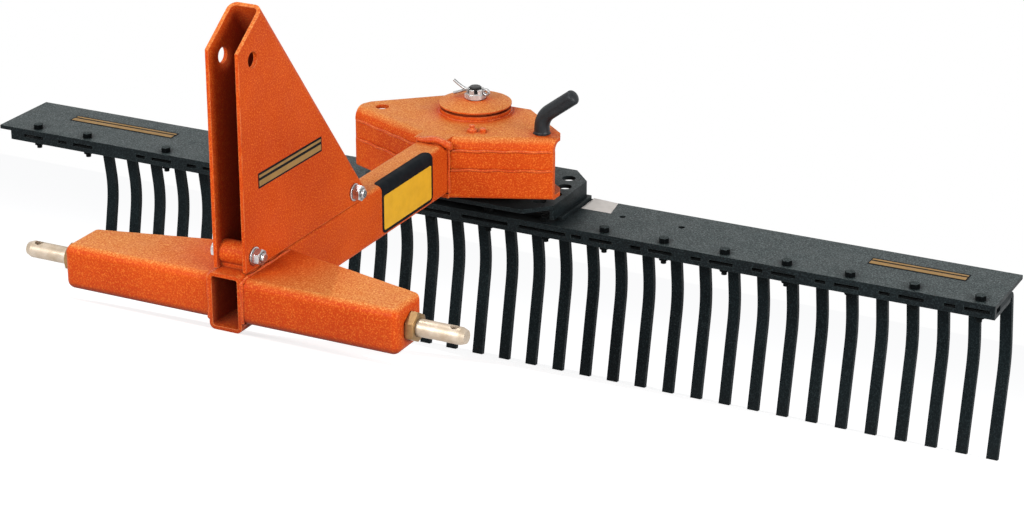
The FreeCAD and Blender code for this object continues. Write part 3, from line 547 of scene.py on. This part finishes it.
SHOULDER_FLATS, SHOULDER_BORE = 34.0, 11.15
for side, name in ((1, "right"), (-1, "left")):
    low, high = sorted((side * SHOULDER_IN, side * SHOULDER_OUT))
    piece(f"hex_shoulder_{name}", hexagon(LOWER_PIN, "x", SHOULDER_FLATS, low, high, SHOULDER_BORE),
          YELLOW_ZINC, "frame", [f"pin_collar_{name}"])


# ------------------------------------------------------------------ king pin, its nut and split pin

NUT_FLATS, NUT_BORE, NUT_CONE = 27.0, 9.2, 13.1
NUT_FOOT, NUT_SHOULDER, SLOT_FLOOR, NUT_TOP = 100.0, 108.2, 109.0, 115.0
CROWN, CROWN_EDGE, THREAD_MOUTH = 12.7, 12.1, 9.9


def crown_ring(angles, radius, height, flats=None, rise=0.0):
    """One ring of the slotted nut. height is a number or a function of slotted or not."""
    ring = []
    for angle, slotted in angles:
        turn = math.radians(angle)
        reach = radius
        if flats:
            reach = flats / 2 / math.cos((turn + math.pi / 6) % (math.pi / 3) - math.pi / 6)
        level = height(slotted) if callable(height) else height
        level += max(0.0, reach - NUT_CONE) * rise
        ring.append(Vector((reach * math.cos(turn), PIVOT_Y + reach * math.sin(turn), level)))
    return ring


def slotted_nut():
    """Castle nut: a hexagon below a round crown with six slots."""
    angles = []
    for sector in range(6):
        centre = 60 * sector
        angles += [(centre - 12, False)] + [(centre + step, True) for step in (-12, -6, 0, 6, 12)]
        angles += [(centre + step, False) for step in (12, 18, 24, 30, 36, 42)]

    def top(slotted):
        return SLOT_FLOOR if slotted else NUT_TOP

    def edge(slotted):
        return SLOT_FLOOR - 0.1 if slotted else NUT_TOP - 0.7

    return loft([
        crown_ring(angles, NUT_BORE, NUT_FOOT),
        crown_ring(angles, NUT_CONE, NUT_FOOT),
        crown_ring(angles, 0, NUT_FOOT, NUT_FLATS, CHAMFER_SLOPE),
        crown_ring(angles, 0, NUT_SHOULDER, NUT_FLATS, -CHAMFER_SLOPE),
        crown_ring(angles, CROWN, NUT_SHOULDER),
        crown_ring(angles, CROWN, edge),
        crown_ring(angles, CROWN_EDGE, top),
        crown_ring(angles, THREAD_MOUTH, top),
        crown_ring(angles, THREAD_MOUTH, SLOT_FLOOR - 0.2)], caps=False)


piece("slotted_nut", slotted_nut(), PALE_STEEL, "rake", ["castle_nut"])

KING_PITCH, KING_ROOT = 1.8, 8.4
king_profile = [(11.7, -54.0), (12.7, -53.0), (12.7, 87.2), (12.2, 88.0), (9.5, 88.0)]
height = NUT_FOOT - 1.0
while height < NUT_TOP:
    king_profile += [(NUT_BORE, height), (KING_ROOT, height + KING_PITCH / 2)]
    height += KING_PITCH
king_profile += [(8.9, 116.4), (7.4, 118.0)]
piece("threaded_king_pin", turned((0, PIVOT_Y, 0), "z", king_profile, 56),
      DARK_STEEL, "rake", ["king_pin"])

# Split pin, in the plane across the machine: its upper leg, its eye and its lower leg.
SPLIT_Z, SPLIT_RADIUS, LEG_APART = 111.0, 2.1, 0.75
leg_high = [(-34.5, 122.5), (-29.0, 118.6), (-22.5, 114.6), (-17.5, 112.4),
            (-13.5, SPLIT_Z + LEG_APART), (13.0, SPLIT_Z + LEG_APART)]
leg_low = [(13.0, SPLIT_Z - LEG_APART), (-13.5, SPLIT_Z - LEG_APART), (-18.0, 109.6),
           (-25.0, 106.2), (-35.0, 102.6)]
eye = arc((17.4, PIVOT_Y, SPLIT_Z), (1, 0, 0), (0, 0, 1), 4.0, 150, -150, 20)
wire = [(x, PIVOT_Y, z) for x, z in leg_high] + eye + [(x, PIVOT_Y, z) for x, z in leg_low]
piece("split_pin", sweep(wire, lambda share: SPLIT_RADIUS, 14), WIRE_ZINC, "rake",
      ["cotter_pin"], sharp=SHARP_ROUND)


# ------------------------------------------------------------------ locking pin and its grip

LOCK_TURN = math.radians(20.7)
LOCK_X = INDEX_RADIUS * math.cos(LOCK_TURN) + 3.2
LOCK_Y = PIVOT_Y - INDEX_RADIUS * math.sin(LOCK_TURN)
GRIP_LEAN, GRIP_BEND, GRIP_ARM = 53.0, 30.0, 50.0
GRIP_RADIUS, GRIP_ROUND = 10.9, 6.5
LIP_RISE, LIP_AT, LIP_WIDTH = 0.8, 2.0, 1.3
grip_bend = arc((LOCK_X + GRIP_BEND, LOCK_Y, HEAD_TOP + 10.0), (-1, 0, 0), (0, 0, 1), GRIP_BEND,
                0, GRIP_LEAN, 16)
lean = Vector((math.sin(math.radians(GRIP_LEAN)), 0, math.cos(math.radians(GRIP_LEAN))))
shares = [0.2, 0.4, 0.6] + [0.6 + 0.4 * math.sin(math.pi / 2 * i / 14) for i in range(1, 15)]
grip_path = [(LOCK_X, LOCK_Y, HEAD_TOP + 0.2 + 0.6 * i) for i in range(8)] + grip_bend
grip_path += [grip_bend[-1] + lean * GRIP_ARM * share for share in shares]
grip_length = sum((Vector(b) - Vector(a)).length for a, b in zip(grip_path, grip_path[1:]))


def grip_radius(share):
    """Dipped vinyl: a rolled lip at the foot and a rounded end."""
    left = (1 - share) * grip_length
    lip = LIP_RISE * math.exp(-((share * grip_length - LIP_AT) / LIP_WIDTH) ** 2)
    round_end = math.sqrt(max(0.001, 1 - max(0.0, 1 - left / GRIP_ROUND) ** 2))
    return (GRIP_RADIUS + lip) * round_end


piece("dipped_grip", sweep(grip_path, grip_radius, 32), GRIP, "frame", ["index_grip"],
      sharp=SHARP_ROUND)
lock_axis = (LOCK_X, LOCK_Y, 0)
rod = [(5.6, -6.0), (6.8, -4.8), (6.8, 88.0)]
piece("lock_rod", turned(lock_axis, "z", rod, 32), DARK_STEEL, "frame", ["index_pin"])
ferrule = [(9.0, 81.9), (11.6, 81.9), (12.0, 82.3), (12.0, 82.9), (11.5, 83.3), (9.0, 83.3)]
piece("grip_ferrule", turned(lock_axis, "z", ferrule, 40), DARK_STEEL, "frame")


# ------------------------------------------------------------------ bolts that clamp the tines

CLAMP_Y = PIVOT_Y - 47.0
CLAMP_ROW = [775.0 - 91.3 * i for i in range(15)] + [-737.5, -646.2]
CLAMP_BOLT, CLAMP_FLATS, CLAMP_SIDES = 4.0, 13.0, 48
bolts, nuts = [], []
for x in CLAMP_ROW:
    seat = (x, CLAMP_Y, 0)
    bolts.append(hexagon(seat, "z", CLAMP_FLATS, BAR_TOP, BAR_TOP + 7.0, CLOSED,
                         low_chamfer=False, sides=CLAMP_SIDES))
    bolts.append(threaded(seat, "z", CLAMP_BOLT, STRIP_UNDER - 11.5, BAR_TOP + 2.0,
                          pitch=1.4, depth=0.6, sides=20))
    nuts.append(hexagon(seat, "z", CLAMP_FLATS, STRIP_UNDER - 6.5, STRIP_UNDER,
                        CLAMP_BOLT + THREAD_GAP, sides=CLAMP_SIDES))
piece("strip_bolts", joined(*bolts), BOLT_BLACK, "rake", ["clamp_bolts"])
piece("strip_nuts", joined(*nuts), BOLT_BLACK, "rake", ["clamp_nuts"])


# ------------------------------------------------------------------ grease nipple and its guard

nipple = [(7.2, 81.8), (7.2, 84.8), (6.6, 85.6), (4.6, 86.0), (3.6, 87.0), (3.4, 88.6), (4.2, 89.6),
          (4.2, 90.8), (2.4, 92.0)]
guard = [(4.6, 81.8), (4.6, 86.6), (3.8, 87.6), (1.0, 88.0)]
piece("grease_nipple", joined(turned((38.0, 593.0, 0), "z", nipple, 32),
                              turned((53.0, 597.0, 0), "z", guard, 24)),
      WELD, "frame")


# ------------------------------------------------------------------ welds

def weld(name, points, radius, seed):
    """A painted weld bead on the frame, through the points."""
    piece(f"weld_{name}", bead(points, radius, seed), WELD, "frame", sharp=SHARP_ROUND)


ROOT_X = SIDE_X + 0.6
seam_low = [(26.0, HEAD_FRONT - 0.2, 37.2), (156.0, HEAD_CORNER - 0.9, 37.2)]
seam_high = [(27.0, HEAD_FRONT + 0.2, 65.3), (156.0, HEAD_CORNER - 0.6, 65.3)]
upright = [(SIDE_X + 1.0, HEAD_FRONT - 0.6, 1.0), (SIDE_X + 1.0, HEAD_FRONT - 0.6, 72.0)]
root = [(ROOT_X, 1.8, 12.0), (ROOT_X, 2.4, 68.5), (SIDE_X + 0.4, 17.0, 70.6), (SIDE_X + 0.4, 119.0, 70.6)]
underneath = [(ROOT_X, 3.0, 11.2), (ROOT_X, 119.0, 11.2)]
rear_root = [(ROOT_X, 120.4, 12.0), (ROOT_X, 120.4, 70.0)]
for name, points, radius, seed in (
        ("seam_low", seam_low, 1.9, 3), ("seam_high", seam_high, 1.8, 5), ("upright", upright, 2.6, 7),
        ("crossbar_root", root, 2.6, 11), ("crossbar_under", underneath, 2.4, 13),
        ("crossbar_back", rear_root, 2.4, 17)):
    weld(f"{name}_right", points, radius, seed)
    weld(f"{name}_left", [(-x, y, z) for x, y, z in points], radius, seed + 40)
tab = [(-22.0, HEAD_FRONT - 8.6, 79.6), (21.5, HEAD_FRONT - 8.6, 79.8),
       (29.0, HEAD_FRONT - 7.0, 77.6), (27.5, HEAD_FRONT - 3.0, 70.0)]
weld("head_tab", tab, 5.1, 19)
weld("cap_ring", arc((0, PIVOT_Y, HEAD_TOP), (1, 0, 0), (0, 1, 0), 51.9, 0, 360, 90), 1.4, 23)
for name, y in BOSSES:
    for side, side_name in ((1, "right"), (-1, "left")):
        foot_x = side * (SIDE_X - 4.2)
        weld(f"boss_{name}_{side_name}", [(foot_x, y - 19.0, 76.2), (foot_x, y + 19.0, 76.2)],
             1.7, 29 + int(y))


# ------------------------------------------------------------------ printed films, left blank

UNDER_LIFT, OVER_LIFT = 0.02, 0.30  # the wrapped backing's and the field's height over the paint
SHEET_LIFT = 0.03                   # a flat backing's height over the paint
BAND_LIFT = 0.27                    # a band's height over its backing's foot


def tongue_wrap(y, run, lift):
    """A point on the tongue's right side, run millimetres up from its foot and over the corner."""
    straight = TONGUE_TOP - TONGUE_CORNER
    bend = math.pi / 2 * TONGUE_CORNER
    if run <= straight:
        return (SIDE_X + lift, y, run)
    angle = min(run - straight, bend) / TONGUE_CORNER
    x = SIDE_X - TONGUE_CORNER + (TONGUE_CORNER + lift) * math.cos(angle)
    z = TONGUE_TOP - TONGUE_CORNER + (TONGUE_CORNER + lift) * math.sin(angle)
    return (x - max(0.0, run - straight - bend), y, z)


def wrapped(low, high, start, end, corner, lift):
    """A sheet on the tongue with rounded corners, between two heights and two stations."""
    def place(u, v, thickness):
        run = low + (high - low) * v
        short = corner - min(corner, run - low, high - run)
        inset = corner - math.sqrt(max(0.0, corner ** 2 - short ** 2))
        y = start + inset + (end - start - 2 * inset) * u
        return tongue_wrap(y, run, lift + thickness)
    return film(place, 20, 64)


piece("label_border", wrapped(6.5, 87.5, 358.0, 502.0, 9.0, UNDER_LIFT), BLACK_FILM, "frame",
      sharp=SHARP_FILM)
piece("label_field", wrapped(11.0, 60.5, 363.0, 497.0, 3.0, OVER_LIFT), YELLOW_FILM, "frame",
      sharp=SHARP_FILM)

LABEL_CORNERS = [Vector(corner) for corner in
                 ((160.0, 696.0), (207.0, 696.0), (200.0, 737.0), (160.0, 741.0))]


def on_label(u, v, thickness):
    """A point of the pale sheet on the bar, between its four corners."""
    a, b, c, d = LABEL_CORNERS
    point = a.lerp(b, u).lerp(d.lerp(c, u), v)
    return (point.x, point.y, BAR_TOP + SHEET_LIFT + thickness)


piece("label_blank", film(on_label, 12, 4), PALE_FILM, "rake", sharp=SHARP_FILM)

BANDS = (("wide", 0.12, 0.50), ("thin", 0.68, 0.86))
BAND_MARGIN = 0.012


def striped(name, place, body):
    """Two gold bands on a dark backing: place(u, v, lift) spans the whole backing."""
    piece(f"{name}_backing", film(place, 24, 4), BLACK_FILM, body, sharp=SHARP_FILM)
    for band, low, high in BANDS:
        def on_band(u, v, thickness, low=low, high=high):
            return place(BAND_MARGIN + (1 - 2 * BAND_MARGIN) * u, low + (high - low) * v,
                         BAND_LIFT + thickness)
        piece(f"{name}_{band}", film(on_band, 24, 2), GOLD_FILM, body, sharp=SHARP_FILM)


def on_bar(start, end):
    """The place of a level plate on the bar, between two stations across the machine."""
    def place(u, v, thickness):
        return (start + (end - start) * u, 682.0 + 24.0 * v, BAR_TOP + SHEET_LIFT + thickness)
    return place


def on_mast(u, v, thickness):
    """A point of the plate on the mast's right side."""
    return (SIDE_X + SHEET_LIFT + thickness, 50.0 + 154.0 * u, 176.0 + 20.0 * v)


striped("stripe_bar_left", on_bar(-716.0, -528.0), "rake")
striped("stripe_bar_right", on_bar(598.0, 738.0), "rake")
striped("stripe_mast", on_mast, "frame")


# ------------------------------------------------------------------ floor, backdrop and light

WHITE = (1, 1, 1, 1)
FLOOR_HALF = 30
FLOOR_COLOUR, FLOOR_GLOW = (0.60, 0.60, 0.60, 1), 0.76
SKY_COLOUR, SKY_STRENGTH = (0.96, 0.97, 1.0, 1), 0.34


def cleared(owner):
    """The owner's node tree, emptied."""
    owner.use_nodes = True
    owner.node_tree.nodes.clear()
    return owner.node_tree


def seen_directly(tree):
    """1 for what the camera, glossy metal and clear pieces see, 0 for light on the object."""
    path = tree.nodes.new("ShaderNodeLightPath")
    total = path.outputs["Is Camera Ray"]
    for name in ("Is Glossy Ray", "Is Transmission Ray"):
        either = tree.nodes.new("ShaderNodeMath")
        either.operation = "MAXIMUM"
        tree.links.new(total, either.inputs[0])
        tree.links.new(path.outputs[name], either.inputs[1])
        total = either.outputs[0]
    return total


def chosen(tree, kind, unseen, seen):
    """One source of light on the object and another for what is seen, each (colour, strength)."""
    choose = tree.nodes.new("ShaderNodeMixShader")
    tree.links.new(seen_directly(tree), choose.inputs[0])
    for slot, (colour, strength) in ((1, unseen), (2, seen)):
        source = tree.nodes.new(kind)
        source.inputs["Color"].default_value = colour
        source.inputs["Strength"].default_value = strength
        tree.links.new(source.outputs[0], choose.inputs[slot])
    return choose.outputs[0]


def floor_material():
    """Pale floor that shows white, and keeps the object's shadow."""
    material = bpy.data.materials.new("floor_white")
    tree = cleared(material)
    output = tree.nodes.new("ShaderNodeOutputMaterial")
    pale = tree.nodes.new("ShaderNodeBsdfDiffuse")
    pale.inputs["Color"].default_value = FLOOR_COLOUR
    glow = chosen(tree, "ShaderNodeEmission", (WHITE, 0.0), (WHITE, FLOOR_GLOW))
    both = tree.nodes.new("ShaderNodeAddShader")
    tree.links.new(pale.outputs[0], both.inputs[0])
    tree.links.new(glow, both.inputs[1])
    tree.links.new(both.outputs[0], output.inputs["Surface"])
    return material


def studio():
    """A soft world that lights the object, and shows as plain white."""
    world = bpy.data.worlds.new("studio")
    tree = cleared(world)
    output = tree.nodes.new("ShaderNodeOutputWorld")
    light = chosen(tree, "ShaderNodeBackground", (SKY_COLOUR, SKY_STRENGTH), (WHITE, 1.0))
    tree.links.new(light, output.inputs["Surface"])
    return world


def lamp(name, place, aim, size, power):
    """An area lamp of so many watts, turned towards a point."""
    light = bpy.data.lights.new(name, "AREA")
    light.shape = "RECTANGLE"
    light.size, light.size_y = size
    light.energy = power
    obj = bpy.data.objects.new(name, light)
    scene.collection.objects.link(obj)
    obj.location = place
    obj.rotation_euler = (Vector(aim) - Vector(place)).to_track_quat("-Z", "Y").to_euler()


floor_mesh = bpy.data.meshes.new("floor")
corners = [(x * FLOOR_HALF, y * FLOOR_HALF, 0) for x, y in ((-1, -1), (1, -1), (1, 1), (-1, 1))]
floor_mesh.from_pydata(corners, [], [(0, 1, 2, 3)])
floor = bpy.data.objects.new("floor", floor_mesh)
scene.collection.objects.link(floor)
floor_mesh.materials.append(floor_material())

# The key lamp is placed in the level frame, the other two in the floor's frame in metres.
scene.world = studio()
middle = at(0, 300, 0)
lamp("key_lamp", at(-1000, 780, 2880), middle, (0.06, 0.06), 21.5)
lamp("front_lamp", (-0.9, -5.5, 0.80), middle, (3.6, 1.25), 266)
lamp("side_lamp", (3.4, -1.0, 0.70), middle, (1.6, 1.1), 82)

scene.view_settings.view_transform = "Standard"
